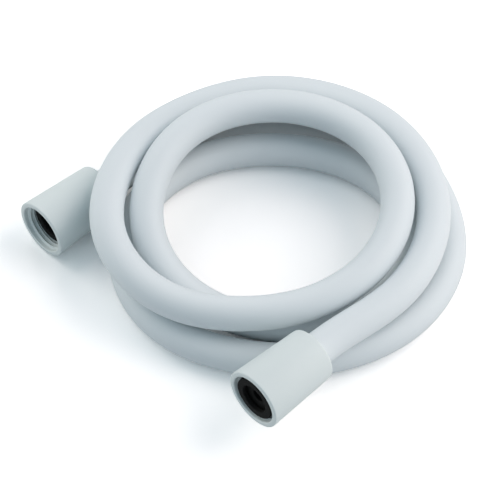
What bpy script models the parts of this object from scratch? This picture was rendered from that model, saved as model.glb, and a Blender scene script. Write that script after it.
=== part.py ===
"""Smooth white shower hose, lying loosely coiled, with a conical coupling nut on each end.

Metres, +Z up, floor at z = 0. Both nuts' mouths face -X. The coil is laid out about its own centre,
and the whole is then moved so that the origin lies on the floor under the middle of its box.
A plan angle is counted anticlockwise from +X, as seen from above.
"""
import math

import bpy
import numpy as np
from mathutils import Matrix, Vector

# Hose: a smooth extruded tube
HOSE_OD = 0.014
HOSE_WALL = 0.0028
HOSE_POINTS = 80
HOSE_ROUNDNESS = 4

# Gaps: touching pieces, neighbouring turns, and the turning fit between a nut and what it turns on
SEAT_GAP = 0.0003
TURN_GAP = 0.0003
SWIVEL_GAP = 0.0005

# Coupling nut: a plain cone that screws onto a half-inch parallel pipe thread. Its inside thread is
# drawn as a plain bore; a shoulder behind the thread catches the insert's flange.
NUT_LENGTH = 0.0325
NUT_THREAD_BORE = 0.0190
NUT_THREAD_DEPTH = 0.0011
NUT_MOUTH_WALL = 0.00225
NUT_BACK_WALL = 0.0039
NUT_COUNTERBORE_LENGTH = 0.0018
NUT_SHOULDER_DEPTH = 0.0108
NUT_COLLAR_LENGTH = 0.003
NUT_MOUTH_ROUND = 0.0005
NUT_BACK_ROUND = 0.0012

# Insert: a flanged tail that plugs the hose's bore, and its washer. Both pass down the thread bore.
FLANGE_GAP = 0.0006
FLANGE_THICKNESS = 0.0015
TAIL_LENGTH = 0.016
TAIL_WALL = 0.0009
BARB_COUNT = 4
BARB_DEPTH = 0.0003
WASHER_BORE = 0.0124
WASHER_THICKNESS = 0.0020

# Ferrule: a thin sleeve crimped round the hose over the tail
FERRULE_WALL = 0.0006
FERRULE_LENGTH = 0.0115

TURNED_STEPS = 48
BACK_ROUND_POINTS = 3
MERGE_DISTANCE = 0.00001

# The hose lies in lanes, counted in hose widths outwards from a core circle, and on levels, counted
# in hose widths upwards from a turn on the floor.
COIL_CORE_RADIUS = 0.046

# The two ends: how far each mouth stands out past the core circle towards -X, the lane and level of
# its axis there, the degrees by which it looks up, and how far the nut has slid back along the hose
# from where its shoulder meets the flange. The rear nut lies on the floor, which sets its height and tip.
FRONT_REACH = 0.0303
FRONT_LANE = 1.085
FRONT_LEVEL = 1.243
FRONT_TIP = 2.4
FRONT_SLIDE = 0.0064
REAR_REACH = 0.0314
REAR_LANE = 1.231
REAR_SLIDE = 0.0021
STRAIGHT_BEHIND_NUT = 0.008
STRAIGHT_POINTS = 4

# The hose's way round the coil, from the front nut to the rear one: its lane and level at every
# STATION_STEP degrees of plan angle
STATION_STEP = 30
FIRST_STATION = -90
STATIONS = [
    # first turn, on top and outside, over the rear nut and across the front
    (1.24, 1.04), (1.10, 1.02), (1.02, 1.01), (0.95, 1.01), (0.90, 1.01), (0.98, 1.02),
    (1.21, 1.08), (1.54, 1.40), (1.90, 1.33), (1.54, 1.08), (0.85, 1.12), (0.41, 1.18),
    # second turn, on top and inside, then down to the floor under the first
    (0.16, 1.24), (0.04, 1.33), (-0.01, 1.40), (-0.05, 1.45), (-0.07, 1.50), (0.03, 1.54),
    (0.27, 1.55), (0.52, 1.48), (0.77, 1.00), (0.62, 0.40), (0.37, 0.11), (0.41, 0.0),
    # third turn, on the floor, from inside to outside
    (0.56, 0.0), (0.55, 0.0), (0.25, 0.0), (-0.19, 0.0), (-0.45, 0.0), (-0.37, 0.0),
    (0.10, 0.0), (0.82, 0.0), (1.48, 0.0), (1.72, 0.0), (1.53, 0.0), (1.50, 0.0),
    # last part turn, on the floor and outside, round to the rear nut
    (1.65, 0.0), (1.66, 0.0), (1.40, 0.0), (1.28, 0.0), (1.33, 0.0), (1.43, 0.0), (1.47, 0.05),
]

WHITE_PVC = ((0.715, 0.775, 0.795), 0.38, 0.0)
WHITE_PLASTIC = ((0.69, 0.76, 0.755), 0.45, 0.0)
BLACK_RUBBER = ((0.012, 0.012, 0.013), 0.70, 0.0)
BLACK_PLASTIC = ((0.015, 0.015, 0.016), 0.45, 0.0)
STEEL = ((0.62, 0.63, 0.64), 0.28, 1.0)

HOSE_RADIUS = HOSE_OD / 2
HOSE_WIDTH = HOSE_OD + TURN_GAP
COLLAR_RADIUS = HOSE_RADIUS + SWIVEL_GAP
NUT_COUNTERBORE_RADIUS = NUT_THREAD_BORE / 2 + NUT_THREAD_DEPTH
NUT_MOUTH_RADIUS = NUT_COUNTERBORE_RADIUS + NUT_MOUTH_WALL
NUT_BACK_RADIUS = COLLAR_RADIUS + NUT_BACK_WALL
WASHER_RADIUS = NUT_THREAD_BORE / 2 - SEAT_GAP
FLANGE_RADIUS = NUT_THREAD_BORE / 2 - FLANGE_GAP
TAIL_RADIUS = HOSE_RADIUS - HOSE_WALL - SEAT_GAP
FERRULE_BORE_RADIUS = HOSE_RADIUS + SEAT_GAP
FERRULE_RADIUS = FERRULE_BORE_RADIUS + FERRULE_WALL
# How far behind the washer's face the hose begins
HOSE_SETBACK = WASHER_THICKNESS + SEAT_GAP + FLANGE_THICKNESS + SEAT_GAP


def clear_scene():
    for old in list(bpy.data.objects):
        bpy.data.objects.remove(old)


def material(name, look):
    colour, roughness, metallic = look
    made = bpy.data.materials.new(name)
    made.use_nodes = True
    shader = made.node_tree.nodes["Principled BSDF"]
    shader.inputs["Base Color"].default_value = (*colour, 1.0)
    shader.inputs["Roughness"].default_value = roughness
    shader.inputs["Metallic"].default_value = metallic
    made.diffuse_color = (*colour, 1.0)
    return made


def washer_depth(slide):
    """How far the washer's face lies behind the mouth of a nut that has slid back."""
    return NUT_SHOULDER_DEPTH - slide - FLANGE_THICKNESS - SEAT_GAP - WASHER_THICKNESS


def lane_radius(lane):
    return COIL_CORE_RADIUS + lane * HOSE_WIDTH


def level_height(level):
    return HOSE_RADIUS + level * HOSE_WIDTH


def ends():
    """For each end: the middle of its mouth, the direction from there to the hose, the washer's depth.

    The rear nut lies on the floor on its cone, so its axis dips towards the hose.
    """
    tip = math.radians(FRONT_TIP)
    lean = math.asin((NUT_MOUTH_RADIUS - NUT_BACK_RADIUS) / NUT_LENGTH)
    front_mouth = Vector((
        -COIL_CORE_RADIUS - FRONT_REACH,
        -lane_radius(FRONT_LANE),
        level_height(FRONT_LEVEL),
    ))
    rear_mouth = Vector((
        -COIL_CORE_RADIUS - REAR_REACH,
        lane_radius(REAR_LANE),
        NUT_MOUTH_RADIUS * math.cos(lean),
    ))
    front_inward = Vector((math.cos(tip), 0.0, -math.sin(tip)))
    rear_inward = Vector((math.cos(lean), 0.0, -math.sin(lean)))
    front = (front_mouth, front_inward, washer_depth(FRONT_SLIDE))
    rear = (rear_mouth, rear_inward, washer_depth(REAR_SLIDE))
    return front, rear


def lead(end):
    """Points of the straight stretch at an end, from the hose's cut end out past the nut's back."""
    mouth, inward, depth = end
    start = depth + HOSE_SETBACK
    stop = NUT_LENGTH + STRAIGHT_BEHIND_NUT
    return [mouth + inward * reach for reach in np.linspace(start, stop, STRAIGHT_POINTS)]


def coil_points():
    """The stations as points: a spiral whose lane and level change on the way round."""
    points = []
    for index, (lane, level) in enumerate(STATIONS):
        angle = math.radians(FIRST_STATION + index * STATION_STEP)
        radius = lane_radius(lane)
        points.append(Vector((radius * math.cos(angle), radius * math.sin(angle), level_height(level))))
    return points


def smooth_curve(points, count):
    """Evenly spaced points on the natural cubic spline through the given ones, never under the floor."""
    knots = np.array(points)
    steps = np.linalg.norm(np.diff(knots, axis=0), axis=1)
    along = np.concatenate([[0.0], np.cumsum(steps)])
    size = len(knots)
    system = np.eye(size)
    known = np.zeros_like(knots)
    slopes = np.diff(knots, axis=0) / steps[:, None]
    for row in range(1, size - 1):
        before, after = steps[row - 1], steps[row]
        system[row, row - 1:row + 2] = before, 2 * (before + after), after
        known[row] = 6 * (slopes[row] - slopes[row - 1])
    bends = np.linalg.solve(system, known)

    def at(distance):
        cell = min(int(np.searchsorted(along, distance, side="right")) - 1, size - 2)
        width = steps[cell]
        low = (along[cell + 1] - distance) / width
        high = 1 - low
        place = low * knots[cell] + high * knots[cell + 1]
        place += ((low**3 - low) * bends[cell] + (high**3 - high) * bends[cell + 1]) * width**2 / 6
        place[2] = max(place[2], HOSE_RADIUS)
        return Vector(place)

    return [at(distance) for distance in np.linspace(0.0, along[-1], count)]


def hose_route():
    front, rear = ends()
    return smooth_curve(lead(front) + coil_points() + lead(rear)[::-1], HOSE_POINTS)


def add(piece, look, collection):
    piece.data.materials.append(material(piece.name, look))
    collection.objects.link(piece)
    return piece


def make_hose(collection):
    """An open round tube along the route, given its wall inwards, so that its bore goes right through."""
    curve = bpy.data.curves.new("hose", "CURVE")
    curve.dimensions = "3D"
    curve.bevel_depth = HOSE_RADIUS
    curve.bevel_resolution = HOSE_ROUNDNESS
    curve.use_fill_caps = False
    points = hose_route()
    spline = curve.splines.new("POLY")
    spline.points.add(len(points) - 1)
    for target, point in zip(spline.points, points):
        target.co = (*point, 1.0)
    spline.use_smooth = True
    hose = add(bpy.data.objects.new("hose", curve), WHITE_PVC, collection)
    wall = hose.modifiers.new("wall", "SOLIDIFY")
    wall.thickness = HOSE_WALL
    wall.offset = -1.0
    wall.use_even_offset = True
    return hose


def turn(name, outline, end, look, collection):
    """A closed outline of (radius, depth behind the mouth) turned round an end's axis.

    The piece's origin is the middle of the mouth and its own Z points out of it.
    """
    mouth, inward, _ = end
    mesh = bpy.data.meshes.new(name)
    corners = [(radius, 0.0, -depth) for radius, depth in outline]
    edges = [(index, (index + 1) % len(corners)) for index in range(len(corners))]
    mesh.from_pydata(corners, edges, [])
    piece = add(bpy.data.objects.new(name, mesh), look, collection)
    facing = (-inward).to_track_quat("Z", "Y").to_matrix().to_4x4()
    piece.matrix_world = Matrix.Translation(mouth) @ facing
    screw = piece.modifiers.new("turned", "SCREW")
    screw.axis = "Z"
    screw.steps = TURNED_STEPS
    screw.render_steps = TURNED_STEPS
    screw.use_merge_vertices = True
    screw.merge_threshold = MERGE_DISTANCE
    screw.use_smooth_shade = True
    return piece


def nut_outline():
    taper = (NUT_MOUTH_RADIUS - NUT_BACK_RADIUS) / NUT_LENGTH
    thread = NUT_THREAD_BORE / 2
    cavity = FERRULE_RADIUS + SWIVEL_GAP
    collar_start = NUT_LENGTH - NUT_COLLAR_LENGTH
    outline = [
        (NUT_MOUTH_RADIUS - NUT_MOUTH_ROUND, 0.0),
        (NUT_MOUTH_RADIUS - NUT_MOUTH_ROUND * taper, NUT_MOUTH_ROUND),
    ]
    # the back edge is a quarter round
    for sweep in np.linspace(0.0, math.pi / 2, BACK_ROUND_POINTS):
        outline.append((NUT_BACK_RADIUS - NUT_BACK_ROUND * (1 - math.cos(sweep)),
                        NUT_LENGTH - NUT_BACK_ROUND * (1 - math.sin(sweep))))
    outline += [
        (COLLAR_RADIUS, NUT_LENGTH),
        (COLLAR_RADIUS, collar_start),
        (cavity, collar_start - (cavity - COLLAR_RADIUS)),
        (cavity, NUT_SHOULDER_DEPTH),
        (thread, NUT_SHOULDER_DEPTH),
        (thread, NUT_COUNTERBORE_LENGTH + NUT_THREAD_DEPTH),
        (NUT_COUNTERBORE_RADIUS, NUT_COUNTERBORE_LENGTH),
        (NUT_COUNTERBORE_RADIUS, 0.0),
    ]
    return outline


def washer_outline(depth):
    return [
        (WASHER_RADIUS, depth),
        (WASHER_RADIUS, depth + WASHER_THICKNESS),
        (WASHER_BORE / 2, depth + WASHER_THICKNESS),
        (WASHER_BORE / 2, depth),
    ]


def insert_outline(depth):
    """The flange behind the washer, then the barbed tail inside the hose."""
    face = depth + WASHER_THICKNESS + SEAT_GAP
    back = face + FLANGE_THICKNESS
    barb = TAIL_LENGTH / BARB_COUNT
    outline = [(FLANGE_RADIUS, face), (FLANGE_RADIUS, back)]
    for index in range(BARB_COUNT):
        start = back + index * barb
        outline.append((TAIL_RADIUS, start))
        outline.append((TAIL_RADIUS - BARB_DEPTH, start + barb))
    bore = TAIL_RADIUS - BARB_DEPTH - TAIL_WALL
    outline.append((bore, back + TAIL_LENGTH))
    outline.append((bore, face))
    return outline


def ferrule_outline(depth):
    start = depth + HOSE_SETBACK
    stop = start + FERRULE_LENGTH
    return [
        (FERRULE_RADIUS, start),
        (FERRULE_RADIUS, stop),
        (FERRULE_BORE_RADIUS, stop),
        (FERRULE_BORE_RADIUS, start),
    ]


def make_end(side, end, collection):
    depth = end[2]
    turn(side + "_nut", nut_outline(), end, WHITE_PLASTIC, collection)
    turn(side + "_washer", washer_outline(depth), end, BLACK_RUBBER, collection)
    turn(side + "_insert", insert_outline(depth), end, BLACK_PLASTIC, collection)
    turn(side + "_ferrule", ferrule_outline(depth), end, STEEL, collection)


def stand_on_origin(collection):
    """Moves every piece alike, until the box of them all stands centred on the origin."""
    bpy.context.view_layer.update()
    graph = bpy.context.evaluated_depsgraph_get()
    corners = []
    for piece in collection.objects:
        shown = piece.evaluated_get(graph)
        corners += [shown.matrix_world @ vertex.co for vertex in shown.to_mesh().vertices]
        shown.to_mesh_clear()
    corners = np.array(corners)
    low = corners.min(axis=0)
    high = corners.max(axis=0)
    shift = Vector((-(low[0] + high[0]) / 2, -(low[1] + high[1]) / 2, -low[2]))
    for piece in collection.objects:
        piece.location += shift


def main():
    clear_scene()
    collection = bpy.data.collections.new("shower_hose")
    bpy.context.scene.collection.children.link(collection)
    front, rear = ends()
    make_hose(collection)
    make_end("front", front, collection)
    make_end("rear", rear, collection)
    stand_on_origin(collection)


main()
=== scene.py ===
import math

import bpy
import numpy as np
from mathutils import Matrix, Vector


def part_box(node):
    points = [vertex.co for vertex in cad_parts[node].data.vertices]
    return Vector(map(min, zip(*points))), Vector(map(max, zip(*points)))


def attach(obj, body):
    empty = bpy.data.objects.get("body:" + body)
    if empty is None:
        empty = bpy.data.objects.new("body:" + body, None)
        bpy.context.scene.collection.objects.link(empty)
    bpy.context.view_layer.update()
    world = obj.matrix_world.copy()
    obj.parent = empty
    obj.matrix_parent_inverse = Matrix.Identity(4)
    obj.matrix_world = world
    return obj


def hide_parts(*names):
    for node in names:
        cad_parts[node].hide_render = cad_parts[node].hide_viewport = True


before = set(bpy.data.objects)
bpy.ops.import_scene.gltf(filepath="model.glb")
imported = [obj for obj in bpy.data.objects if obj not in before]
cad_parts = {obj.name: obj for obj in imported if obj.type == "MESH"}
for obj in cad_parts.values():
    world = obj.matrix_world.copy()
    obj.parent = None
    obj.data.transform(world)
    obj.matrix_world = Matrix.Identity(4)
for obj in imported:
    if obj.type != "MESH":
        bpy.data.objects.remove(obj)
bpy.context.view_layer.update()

# Hose
HOSE_OD = 0.014
HOSE_WALL = 0.0028
HOSE_RADIUS = HOSE_OD / 2
HOSE_SIDES = 40
HOSE_RING_SPACING = 0.0025
CUT_ROUND = 0.0003

# Gaps
SEAT_GAP = 0.0003
TURN_GAP = 0.0003
SWIVEL_GAP = 0.0005

# Coupling nut
NUT_LENGTH = 0.0325
NUT_THREAD_RADIUS = 0.0095
NUT_THREAD_DEPTH = 0.0011
NUT_THREAD_PITCH = 0.001814
NUT_THREAD_RUN_IN = 0.0007
NUT_MOUTH_WALL = 0.00225
NUT_BACK_WALL = 0.0039
NUT_COUNTERBORE_LENGTH = 0.0010
NUT_SHOULDER_DEPTH = 0.0108
NUT_COLLAR_LENGTH = 0.003
NUT_MOUTH_ROUND = 0.0006
NUT_BACK_ROUND = 0.0012
NUT_EDGE_ROUND = 0.0003
NUT_STEPS = 144
THREAD_ROW_SPACING = 0.00013

# Insert, washer and ferrule
FLANGE_GAP = 0.0006
FLANGE_THICKNESS = 0.0015
FLANGE_ROUND = 0.0003
TAIL_LENGTH = 0.016
TAIL_WALL = 0.0009
BARB_COUNT = 4
BARB_DEPTH = 0.0003
WASHER_BORE_RADIUS = 0.0062
WASHER_THICKNESS = 0.0020
WASHER_ROUND = 0.0003
FERRULE_WALL = 0.0006
FERRULE_LENGTH = 0.0115
CRIMP_COUNT = 4
CRIMP_DEPTH = 0.00018
SMALL_STEPS = 96

# The pieces' roundings and edges: points in a quarter round, and the angle from which an edge is sharp
ROUND_POINTS = 5
BACK_ROUND_POINTS = 9
STEPS_PER_CRIMP = 12
SHARP_ANGLE = 40

COLLAR_RADIUS = HOSE_RADIUS + SWIVEL_GAP
COUNTERBORE_RADIUS = NUT_THREAD_RADIUS + NUT_THREAD_DEPTH
MOUTH_RADIUS = COUNTERBORE_RADIUS + NUT_MOUTH_WALL
BACK_RADIUS = COLLAR_RADIUS + NUT_BACK_WALL
WASHER_RADIUS = NUT_THREAD_RADIUS - SEAT_GAP
FLANGE_RADIUS = NUT_THREAD_RADIUS - FLANGE_GAP
TAIL_RADIUS = HOSE_RADIUS - HOSE_WALL - SEAT_GAP
FERRULE_BORE_RADIUS = HOSE_RADIUS + SEAT_GAP
FERRULE_RADIUS = FERRULE_BORE_RADIUS + FERRULE_WALL
HOSE_SETBACK = WASHER_THICKNESS + SEAT_GAP + FLANGE_THICKNESS + SEAT_GAP

# The hose lies in lanes, counted in hose widths outwards from a core circle, and on levels, counted
# in hose widths upwards from a turn on the floor.
HOSE_WIDTH = HOSE_OD + TURN_GAP
COIL_CORE_RADIUS = 0.046

# The two ends: how far each mouth stands out past the core circle towards -X, the lane and level of
# its axis there, the degrees by which it looks up, and how far the nut has slid back along the hose
FRONT_REACH = 0.0303
FRONT_LANE = 1.085
FRONT_LEVEL = 1.243
FRONT_TIP = 2.4
FRONT_SLIDE = 0.0064
REAR_REACH = 0.0314
REAR_LANE = 1.231
REAR_SLIDE = 0.0021
STRAIGHT_BEHIND_NUT = 0.008
STRAIGHT_POINTS = 4

# The hose's way round the coil: its lane and level at every STATION_STEP degrees of plan angle
STATION_STEP = 30
FIRST_STATION = -90
STATIONS = [
    # first turn, on top and outside, over the rear nut and across the front
    (1.24, 1.04), (1.10, 1.02), (1.02, 1.01), (0.95, 1.01), (0.90, 1.01), (0.98, 1.02),
    (1.21, 1.08), (1.54, 1.40), (1.90, 1.33), (1.54, 1.08), (0.85, 1.12), (0.41, 1.18),
    # second turn, on top and inside, then down to the floor under the first
    (0.16, 1.24), (0.04, 1.33), (-0.01, 1.40), (-0.05, 1.45), (-0.07, 1.50), (0.03, 1.54),
    (0.27, 1.55), (0.52, 1.48), (0.77, 1.00), (0.62, 0.40), (0.37, 0.11), (0.41, 0.0),
    # third turn, on the floor, from inside to outside
    (0.56, 0.0), (0.55, 0.0), (0.25, 0.0), (-0.19, 0.0), (-0.45, 0.0), (-0.37, 0.0),
    (0.10, 0.0), (0.82, 0.0), (1.48, 0.0), (1.72, 0.0), (1.53, 0.0), (1.50, 0.0),
    # last part turn, on the floor and outside, round to the rear nut
    (1.65, 0.0), (1.66, 0.0), (1.40, 0.0), (1.28, 0.0), (1.33, 0.0), (1.43, 0.0), (1.47, 0.05),
]

# Camera: what it looks at, about the coil's centre on the floor, and from where
CAMERA_TARGET = (-0.01566, 0.00383, 0.0)
CAMERA_HEADING = 43.5
CAMERA_ELEVATION = 54.0
CAMERA_DISTANCE = 0.950
PHOTO_WIDTH = 500
PIXELS_PER_METRE = 2410.0
SENSOR = 36.0
CLIP_START = 0.05
CLIP_END = 20.0

# Colours, linear
WHITE_PVC = (0.715, 0.775, 0.795)
WHITE_PLASTIC = (0.690, 0.760, 0.755)
RUBBER = (0.008, 0.009, 0.009)
BLACK_PLASTIC = (0.005, 0.006, 0.006)
STEEL = (0.62, 0.63, 0.64)

# Plastics and rubber: (roughness low and high), specular level, scale of the cloudiness, scale and
# depth of the grain
HOSE_FINISH = ((0.50, 0.58), 0.5, 55.0, 1400.0, 0.00003)
NUT_FINISH = ((0.48, 0.56), 0.5, 70.0, 2200.0, 0.00003)
RUBBER_FINISH = ((0.70, 0.84), 0.10, 200.0, 2600.0, 0.00004)
INSERT_FINISH = ((0.55, 0.65), 0.08, 200.0, 2000.0, 0.00003)
CLOUD_SHADE = 0.965
GRAIN_DETAIL = 3.0
GRAIN_STRENGTH = 0.35

# Steel: its roughness, its brushing's scale and stretch along X, and the roughness low and high there
STEEL_ROUGHNESS = 0.28
BRUSHED_SCALE = 900.0
BRUSHED_STRETCH = (6.0, 1.0, 1.0)
BRUSHED_ROUGHNESS = (0.22, 0.36)

# Studio light: for each lamp its plan angle and height in degrees, power and colour
LAMP_DISTANCE = 1.1
LAMP_SIZE = 0.9
LAMPS = {
    "key": (330.0, 45.0, 5.7, (1.0, 0.87, 0.82)),
    "right_fill": (300.0, 22.0, 3.9, (1.0, 0.90, 0.85)),
    "left_fill": (120.0, 22.0, 3.6, (1.0, 0.94, 0.84)),
    "back": (90.0, 45.0, 3.0, (1.0, 0.87, 0.85)),
}
SKY_COLOUR = (0.69, 0.87, 1.0)
SKY_STRENGTH = 0.43

# Floor: its size, how far it lies under the hose, its own colour, and what the camera sees in its
# place near the hose and far from it, so that it stays white where little light falls
FLOOR_SIZE = 6.0
FLOOR_DROP = 0.0002
FLOOR_ROUGHNESS = 0.9
FLOOR_COLOUR = (0.80, 0.80, 0.80)
FLOOR_SEEN_NEAR = (1.40, 1.385, 1.36)
FLOOR_SEEN_FAR = (3.8, 3.1, 2.7)
FLOOR_NEAR_RADIUS = 0.35
FLOOR_FAR_RADIUS = 0.90


def coil_centre():
    """The coil's own centre on the floor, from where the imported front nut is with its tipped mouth."""
    low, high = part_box("front_nut")
    mouth = low[0] + MOUTH_RADIUS * math.sin(math.radians(FRONT_TIP))
    x = mouth + COIL_CORE_RADIUS + FRONT_REACH
    y = (low[1] + high[1]) / 2 + lane_radius(FRONT_LANE)
    return Vector((x, y, 0.0))


def lane_radius(lane):
    return COIL_CORE_RADIUS + lane * HOSE_WIDTH


def level_height(level):
    return HOSE_RADIUS + level * HOSE_WIDTH


CENTRE = coil_centre()


def washer_depth(slide):
    return NUT_SHOULDER_DEPTH - slide - FLANGE_THICKNESS - SEAT_GAP - WASHER_THICKNESS


def ends():
    """For each end: the middle of its mouth, the direction from there to the hose, the washer's depth."""
    tip = math.radians(FRONT_TIP)
    lean = math.asin((MOUTH_RADIUS - BACK_RADIUS) / NUT_LENGTH)
    front_mouth = CENTRE + Vector((
        -COIL_CORE_RADIUS - FRONT_REACH,
        -lane_radius(FRONT_LANE),
        level_height(FRONT_LEVEL),
    ))
    rear_mouth = CENTRE + Vector((
        -COIL_CORE_RADIUS - REAR_REACH,
        lane_radius(REAR_LANE),
        MOUTH_RADIUS * math.cos(lean),
    ))
    front_inward = Vector((math.cos(tip), 0.0, -math.sin(tip)))
    rear_inward = Vector((math.cos(lean), 0.0, -math.sin(lean)))
    front = (front_mouth, front_inward, washer_depth(FRONT_SLIDE))
    rear = (rear_mouth, rear_inward, washer_depth(REAR_SLIDE))
    return front, rear


def lead(end):
    """Points of the straight stretch at an end, from the hose's cut end out past the nut's back."""
    mouth, inward, depth = end
    start = depth + HOSE_SETBACK
    stop = NUT_LENGTH + STRAIGHT_BEHIND_NUT
    return [mouth + inward * reach for reach in np.linspace(start, stop, STRAIGHT_POINTS)]


def coil_points():
    """The stations as points: a spiral whose lane and level change on the way round."""
    points = []
    for index, (lane, level) in enumerate(STATIONS):
        angle = math.radians(FIRST_STATION + index * STATION_STEP)
        radius = lane_radius(lane)
        out = Vector((radius * math.cos(angle), radius * math.sin(angle), level_height(level)))
        points.append(CENTRE + out)
    return points


def smooth_curve(points, spacing):
    """Evenly spaced points on the natural cubic spline through the given ones, never under the floor."""
    knots = np.array(points)
    steps = np.linalg.norm(np.diff(knots, axis=0), axis=1)
    along = np.concatenate([[0.0], np.cumsum(steps)])
    size = len(knots)
    system = np.eye(size)
    known = np.zeros_like(knots)
    slopes = np.diff(knots, axis=0) / steps[:, None]
    for row in range(1, size - 1):
        before, after = steps[row - 1], steps[row]
        system[row, row - 1:row + 2] = before, 2 * (before + after), after
        known[row] = 6 * (slopes[row] - slopes[row - 1])
    bends = np.linalg.solve(system, known)
    reach = np.linspace(0.0, along[-1], round(along[-1] / spacing) + 1)
    cell = np.clip(np.searchsorted(along, reach, side="right") - 1, 0, size - 2)
    width = steps[cell, None]
    low = (along[cell + 1] - reach)[:, None] / width
    high = 1 - low
    curve = low * knots[cell] + high * knots[cell + 1]
    curve += ((low**3 - low) * bends[cell] + (high**3 - high) * bends[cell + 1]) * width**2 / 6
    curve[:, 2] = np.maximum(curve[:, 2], HOSE_RADIUS)
    return curve


def carried_frames(points):
    """Two directions across the curve at each point, carried along it without twist."""
    tangents = np.gradient(points, axis=0)
    tangents /= np.linalg.norm(tangents, axis=1)[:, None]
    across = np.cross(tangents[0], (0.0, 0.0, 1.0))
    sides = []
    for tangent in tangents:
        across = across - tangent * (across @ tangent)
        across /= np.linalg.norm(across)
        sides.append(across)
    sides = np.array(sides)
    return sides, np.cross(tangents, sides), tangents


def ring_mesh(name, rings, closed):
    """A mesh of rings of equal count, each joined to the next, and the last to the first if closed."""
    rings = np.array(rings)
    count, sides, _ = rings.shape
    faces = []
    last = count if closed else count - 1
    for row in range(last):
        above = (row + 1) % count
        for side in range(sides):
            beside = (side + 1) % sides
            faces.append((row * sides + side, row * sides + beside,
                          above * sides + beside, above * sides + side))
    mesh = bpy.data.meshes.new(name)
    mesh.from_pydata(rings.reshape(-1, 3).tolist(), [], faces)
    mesh.shade_smooth()
    piece = bpy.data.objects.new(name, mesh)
    bpy.context.scene.collection.objects.link(piece)
    return piece


def make_hose(route):
    """The tube with its wall: out along the outside, round the cut end and back along the bore."""
    across, upright, tangents = carried_frames(route)
    bore = HOSE_RADIUS - HOSE_WALL
    turn = np.linspace(0.0, 2 * math.pi, HOSE_SIDES, endpoint=False)[:, None]

    def ring(at, radius, shift=0.0):
        spoke = np.cos(turn) * across[at] + np.sin(turn) * upright[at]
        return route[at] + tangents[at] * shift + spoke * radius

    last = len(route) - 1
    rings = [ring(0, HOSE_RADIUS - CUT_ROUND)]
    rings.append(ring(0, HOSE_RADIUS, CUT_ROUND))
    rings += [ring(at, HOSE_RADIUS) for at in range(1, last)]
    rings.append(ring(last, HOSE_RADIUS, -CUT_ROUND))
    rings.append(ring(last, HOSE_RADIUS - CUT_ROUND))
    rings += [ring(at, bore) for at in range(last, -1, -1)]
    return ring_mesh("hose_tube", rings, closed=True)


def quarter(centre_radius, centre_depth, size, start, points=ROUND_POINTS):
    """Points of a quarter round in an outline, from an angle in quarter turns, going on for one more."""
    sweep = np.linspace(start, start + 1, points) * math.pi / 2
    return [(centre_radius + size * math.cos(a), centre_depth + size * math.sin(a)) for a in sweep]


def thread_ridge(depth, turn):
    """How far the thread stands in from its root at a depth and a share of a turn: a rounded ridge."""
    phase = -depth / NUT_THREAD_PITCH - turn
    ridge = 0.5 + 0.5 * np.cos(2 * math.pi * phase)
    start = NUT_COUNTERBORE_LENGTH + NUT_THREAD_RUN_IN * turn
    grown = np.clip((depth - start) / NUT_THREAD_RUN_IN, 0.0, 1.0)
    return NUT_THREAD_DEPTH * ridge * grown


def nut_outline():
    """The nut's section as (radius, depth), from the mouth round the outside, and back up the inside."""
    taper = (MOUTH_RADIUS - BACK_RADIUS) / NUT_LENGTH
    cavity = FERRULE_RADIUS + SWIVEL_GAP
    collar_start = NUT_LENGTH - NUT_COLLAR_LENGTH
    front_radius = MOUTH_RADIUS - NUT_MOUTH_ROUND * (1 + taper)
    back_radius = BACK_RADIUS - NUT_BACK_ROUND
    back_depth = NUT_LENGTH - NUT_BACK_ROUND
    outline = quarter(front_radius, NUT_MOUTH_ROUND, NUT_MOUTH_ROUND, -1)
    outline += quarter(back_radius, back_depth, NUT_BACK_ROUND, 0, BACK_ROUND_POINTS)
    outline += [
        (COLLAR_RADIUS + NUT_EDGE_ROUND, NUT_LENGTH),
        (COLLAR_RADIUS, NUT_LENGTH - NUT_EDGE_ROUND),
        (COLLAR_RADIUS, collar_start),
        (cavity, collar_start - (cavity - COLLAR_RADIUS)),
        (cavity, NUT_SHOULDER_DEPTH + NUT_EDGE_ROUND),
        (cavity + NUT_EDGE_ROUND, NUT_SHOULDER_DEPTH),
    ]
    return outline


def facing(end):
    """The matrix that puts a mouth's middle at the origin of a piece, whose own Z points out of it."""
    mouth, inward, _ = end
    return Matrix.Translation(mouth) @ (-inward).to_track_quat("Z", "Y").to_matrix().to_4x4()


def turned(name, outline, end, steps):
    """A closed outline of (radius, depth) turned round an end's axis."""
    turn = np.linspace(0.0, 1.0, steps, endpoint=False)
    rings = []
    for radius, depth in outline:
        radii = np.broadcast_to(radius, turn.shape)
        angle = 2 * math.pi * turn
        heights = np.full(steps, -depth)
        rings.append(np.stack([radii * np.cos(angle), radii * np.sin(angle), heights], axis=-1))
    piece = ring_mesh(name, rings[::-1], closed=True)
    piece.data.transform(facing(end))
    piece.data.set_sharp_from_angle(angle=math.radians(SHARP_ANGLE))
    return piece


def make_nut(name, end):
    turn = np.linspace(0.0, 1.0, NUT_STEPS, endpoint=False)
    outline = nut_outline()
    rows = np.arange(NUT_SHOULDER_DEPTH, NUT_COUNTERBORE_LENGTH, -THREAD_ROW_SPACING)
    for depth in rows:
        outline.append((COUNTERBORE_RADIUS - thread_ridge(depth, turn), depth))
    outline.append((COUNTERBORE_RADIUS, NUT_EDGE_ROUND))
    outline.append((COUNTERBORE_RADIUS + NUT_EDGE_ROUND, 0.0))
    return turned(name, outline, end, NUT_STEPS)


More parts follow.
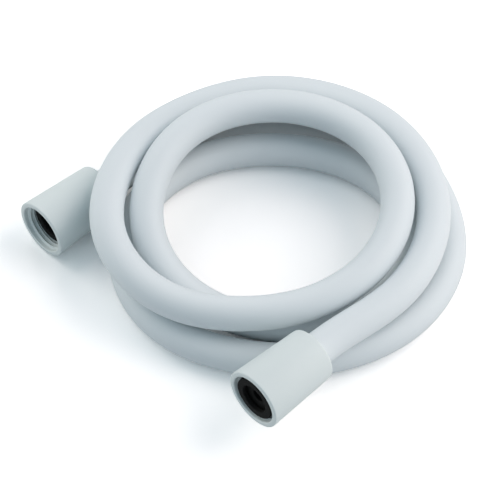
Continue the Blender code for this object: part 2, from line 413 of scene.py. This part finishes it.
def make_washer(name, end):
    depth = end[2]
    back = depth + WASHER_THICKNESS
    outer = WASHER_RADIUS - WASHER_ROUND
    inner = WASHER_BORE_RADIUS + WASHER_ROUND
    outline = quarter(outer, depth + WASHER_ROUND, WASHER_ROUND, -1)
    outline += quarter(outer, back - WASHER_ROUND, WASHER_ROUND, 0)
    outline += quarter(inner, back - WASHER_ROUND, WASHER_ROUND, 1)
    outline += quarter(inner, depth + WASHER_ROUND, WASHER_ROUND, 2)
    return turned(name, outline, end, SMALL_STEPS)


def make_insert(name, end):
    face = end[2] + WASHER_THICKNESS + SEAT_GAP
    back = face + FLANGE_THICKNESS
    outer = FLANGE_RADIUS - FLANGE_ROUND
    bore = TAIL_RADIUS - BARB_DEPTH - TAIL_WALL
    outline = quarter(outer, face + FLANGE_ROUND, FLANGE_ROUND, -1)
    outline += quarter(outer, back - FLANGE_ROUND, FLANGE_ROUND, 0)
    barb = TAIL_LENGTH / BARB_COUNT
    for index in range(BARB_COUNT):
        start = back + index * barb
        outline.append((TAIL_RADIUS, start))
        outline.append((TAIL_RADIUS - BARB_DEPTH, start + barb))
    outline.append((bore, back + TAIL_LENGTH))
    outline += quarter(bore + FLANGE_ROUND, face + FLANGE_ROUND, FLANGE_ROUND, 2)
    return turned(name, outline, end, SMALL_STEPS)


def make_ferrule(name, end):
    """A thin sleeve with rolled crimps, which dip on both its faces."""
    start = end[2] + HOSE_SETBACK
    reach = np.linspace(0.0, 1.0, STEPS_PER_CRIMP * CRIMP_COUNT + 1)
    dip = CRIMP_DEPTH * (0.5 - 0.5 * np.cos(2 * math.pi * CRIMP_COUNT * reach)) ** 2
    outer = [(FERRULE_RADIUS - d, start + FERRULE_LENGTH * r) for r, d in zip(reach, dip)]
    inner = [(FERRULE_BORE_RADIUS - d, start + FERRULE_LENGTH * r) for r, d in zip(reach, dip)]
    return turned(name, outer + inner[::-1], end, SMALL_STEPS)


def new_material(name, colour, roughness, metallic=0.0):
    made = bpy.data.materials.new(name)
    made.use_nodes = True
    shader = made.node_tree.nodes["Principled BSDF"]
    shader.inputs["Base Color"].default_value = (*colour, 1.0)
    shader.inputs["Roughness"].default_value = roughness
    shader.inputs["Metallic"].default_value = metallic
    return made, shader


def noise(tree, scale, detail=4.0, stretch=(1.0, 1.0, 1.0)):
    """Noise over the object's own coordinates."""
    place = tree.nodes.new("ShaderNodeTexCoord")
    mapping = tree.nodes.new("ShaderNodeMapping")
    mapping.inputs["Scale"].default_value = stretch
    made = tree.nodes.new("ShaderNodeTexNoise")
    made.inputs["Scale"].default_value = scale
    made.inputs["Detail"].default_value = detail
    tree.links.new(place.outputs["Object"], mapping.inputs["Vector"])
    tree.links.new(mapping.outputs["Vector"], made.inputs["Vector"])
    return made.outputs["Fac"]


def ranged(tree, value, low, high, start=0.3, stop=0.7):
    made = tree.nodes.new("ShaderNodeMapRange")
    made.inputs["From Min"].default_value = start
    made.inputs["From Max"].default_value = stop
    made.inputs["To Min"].default_value = low
    made.inputs["To Max"].default_value = high
    tree.links.new(value, made.inputs["Value"])
    return made.outputs["Result"]


def tinted(tree, value, colour, other):
    """Colours that go from one to the other with a value."""
    made = tree.nodes.new("ShaderNodeMix")
    made.data_type = "RGBA"
    made.inputs["A"].default_value = (*colour, 1.0)
    made.inputs["B"].default_value = (*other, 1.0)
    tree.links.new(value, made.inputs["Factor"])
    return made.outputs["Result"]


def bumped(tree, shader, value, distance, strength):
    made = tree.nodes.new("ShaderNodeBump")
    made.inputs["Distance"].default_value = distance
    made.inputs["Strength"].default_value = strength
    tree.links.new(value, made.inputs["Height"])
    tree.links.new(made.outputs["Normal"], shader.inputs["Normal"])


def darker(colour, share):
    return tuple(channel * share for channel in colour)


def plastic(name, colour, finish):
    """A moulded or extruded plastic or rubber: faint cloudiness in its colour, and a fine grain."""
    roughness, shine, cloud_scale, grain_scale, grain_depth = finish
    made, shader = new_material(name, colour, roughness[0])
    shader.inputs["Specular IOR Level"].default_value = shine
    tree = made.node_tree
    cloud = noise(tree, cloud_scale)
    grain = noise(tree, grain_scale, GRAIN_DETAIL)
    clouded = tinted(tree, cloud, colour, darker(colour, CLOUD_SHADE))
    tree.links.new(clouded, shader.inputs["Base Color"])
    tree.links.new(ranged(tree, grain, *roughness), shader.inputs["Roughness"])
    bumped(tree, shader, grain, grain_depth, GRAIN_STRENGTH)
    return made


def make_materials():
    steel, shader = new_material("crimped_steel", STEEL, STEEL_ROUGHNESS, 1.0)
    tree = steel.node_tree
    brushed = noise(tree, BRUSHED_SCALE, GRAIN_DETAIL, BRUSHED_STRETCH)
    tree.links.new(ranged(tree, brushed, *BRUSHED_ROUGHNESS), shader.inputs["Roughness"])
    return {
        "hose_pvc": plastic("white_pvc", WHITE_PVC, HOSE_FINISH),
        "nut_plastic": plastic("white_plastic", WHITE_PLASTIC, NUT_FINISH),
        "washer_rubber": plastic("black_rubber", RUBBER, RUBBER_FINISH),
        "insert_plastic": plastic("black_plastic", BLACK_PLASTIC, INSERT_FINISH),
        "ferrule_steel": steel,
    }


def dress(piece, body, node, slot, materials):
    """Give a piece its material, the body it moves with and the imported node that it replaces."""
    piece.data.materials.append(materials[slot])
    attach(piece, body)
    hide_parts(node)
    return piece


def make_end(side, end, materials):
    """The four pieces at one end: only the nut moves, and the others stay with the hose."""
    nut = make_nut(side + "_nut_moulding", end)
    washer = make_washer(side + "_washer_ring", end)
    insert = make_insert(side + "_insert_tail", end)
    ferrule = make_ferrule(side + "_ferrule_sleeve", end)
    dress(nut, side + "_nut", side + "_nut", "nut_plastic", materials)
    dress(washer, "hose", side + "_washer", "washer_rubber", materials)
    dress(insert, "hose", side + "_insert", "insert_plastic", materials)
    dress(ferrule, "hose", side + "_ferrule", "ferrule_steel", materials)
    return [nut, washer, insert, ferrule]


def make_camera():
    heading = math.radians(CAMERA_HEADING)
    rise = math.radians(CAMERA_ELEVATION)
    level = math.cos(rise)
    forward = Vector((math.sin(heading) * level, math.cos(heading) * level, -math.sin(rise)))
    data = bpy.data.cameras.new("camera")
    data.sensor_width = SENSOR
    data.lens = PIXELS_PER_METRE * CAMERA_DISTANCE / PHOTO_WIDTH * SENSOR
    data.clip_start = CLIP_START
    data.clip_end = CLIP_END
    camera = bpy.data.objects.new("camera", data)
    camera.rotation_mode = "QUATERNION"
    camera.rotation_quaternion = forward.to_track_quat("-Z", "Y")
    camera.location = CENTRE + Vector(CAMERA_TARGET) - forward * CAMERA_DISTANCE
    bpy.context.scene.collection.objects.link(camera)
    bpy.context.scene.camera = camera


def add_lamp(name, azimuth, elevation, power, colour):
    """A square area lamp that looks at the coil, from a plan angle and a height in degrees."""
    turn = math.radians(azimuth)
    rise = math.radians(elevation)
    way = Vector((math.cos(turn) * math.cos(rise), math.sin(turn) * math.cos(rise), math.sin(rise)))
    data = bpy.data.lights.new(name, "AREA")
    data.shape = "SQUARE"
    data.size = LAMP_SIZE
    data.energy = power
    data.color = colour
    lamp = bpy.data.objects.new(name, data)
    lamp.location = CENTRE + way * LAMP_DISTANCE
    lamp.rotation_mode = "QUATERNION"
    lamp.rotation_quaternion = way.to_track_quat("Z", "Y")
    bpy.context.scene.collection.objects.link(lamp)


def make_floor():
    """A plain pale floor that the camera sees as white where nothing shades it."""
    bpy.ops.mesh.primitive_plane_add(size=FLOOR_SIZE, location=(0.0, 0.0, -FLOOR_DROP))
    floor = bpy.context.object
    floor.name = "floor"
    made, shader = new_material("pale_floor", FLOOR_COLOUR, FLOOR_ROUGHNESS)
    shader.inputs["Specular IOR Level"].default_value = 0.0
    tree = made.node_tree
    place = tree.nodes.new("ShaderNodeTexCoord")
    out = tree.nodes.new("ShaderNodeVectorMath")
    out.operation = "LENGTH"
    tree.links.new(place.outputs["Object"], out.inputs[0])
    far = ranged(tree, out.outputs["Value"], 0.0, 1.0, FLOOR_NEAR_RADIUS, FLOOR_FAR_RADIUS)
    seen = tinted(tree, far, FLOOR_SEEN_NEAR, FLOOR_SEEN_FAR)
    path = tree.nodes.new("ShaderNodeLightPath")
    whiter = tree.nodes.new("ShaderNodeMix")
    whiter.data_type = "RGBA"
    whiter.inputs["A"].default_value = (*FLOOR_COLOUR, 1.0)
    tree.links.new(path.outputs["Is Camera Ray"], whiter.inputs["Factor"])
    tree.links.new(seen, whiter.inputs["B"])
    tree.links.new(whiter.outputs["Result"], shader.inputs["Base Color"])
    floor.data.materials.append(made)


def make_world():
    """Even light from all round, white where the camera or a reflection looks at it."""
    world = bpy.data.worlds.new("studio")
    world.use_nodes = True
    tree = world.node_tree
    sky = tree.nodes["Background"]
    sky.inputs["Color"].default_value = (*SKY_COLOUR, 1.0)
    sky.inputs["Strength"].default_value = SKY_STRENGTH
    seen = tree.nodes.new("ShaderNodeBackground")
    seen.inputs["Color"].default_value = (1.0, 1.0, 1.0, 1.0)
    seen.inputs["Strength"].default_value = 1.0
    path = tree.nodes.new("ShaderNodeLightPath")
    either = tree.nodes.new("ShaderNodeMath")
    either.operation = "MAXIMUM"
    mix = tree.nodes.new("ShaderNodeMixShader")
    tree.links.new(path.outputs["Is Camera Ray"], either.inputs[0])
    tree.links.new(path.outputs["Is Glossy Ray"], either.inputs[1])
    tree.links.new(either.outputs[0], mix.inputs["Fac"])
    tree.links.new(sky.outputs["Background"], mix.inputs[1])
    tree.links.new(seen.outputs["Background"], mix.inputs[2])
    tree.links.new(mix.outputs["Shader"], tree.nodes["World Output"].inputs["Surface"])
    bpy.context.scene.world = world


def make_lights():
    make_world()
    for name, lamp in LAMPS.items():
        add_lamp(name, *lamp)


def main():
    bpy.context.scene.view_settings.view_transform = "Standard"
    make_camera()
    materials = make_materials()
    front, rear = ends()
    route = smooth_curve(lead(front) + coil_points() + lead(rear)[::-1], HOSE_RING_SPACING)
    hose = dress(make_hose(route), "hose", "hose", "hose_pvc", materials)
    fittings = make_end("front", front, materials) + make_end("rear", rear, materials)
    make_floor()
    make_lights()


main()
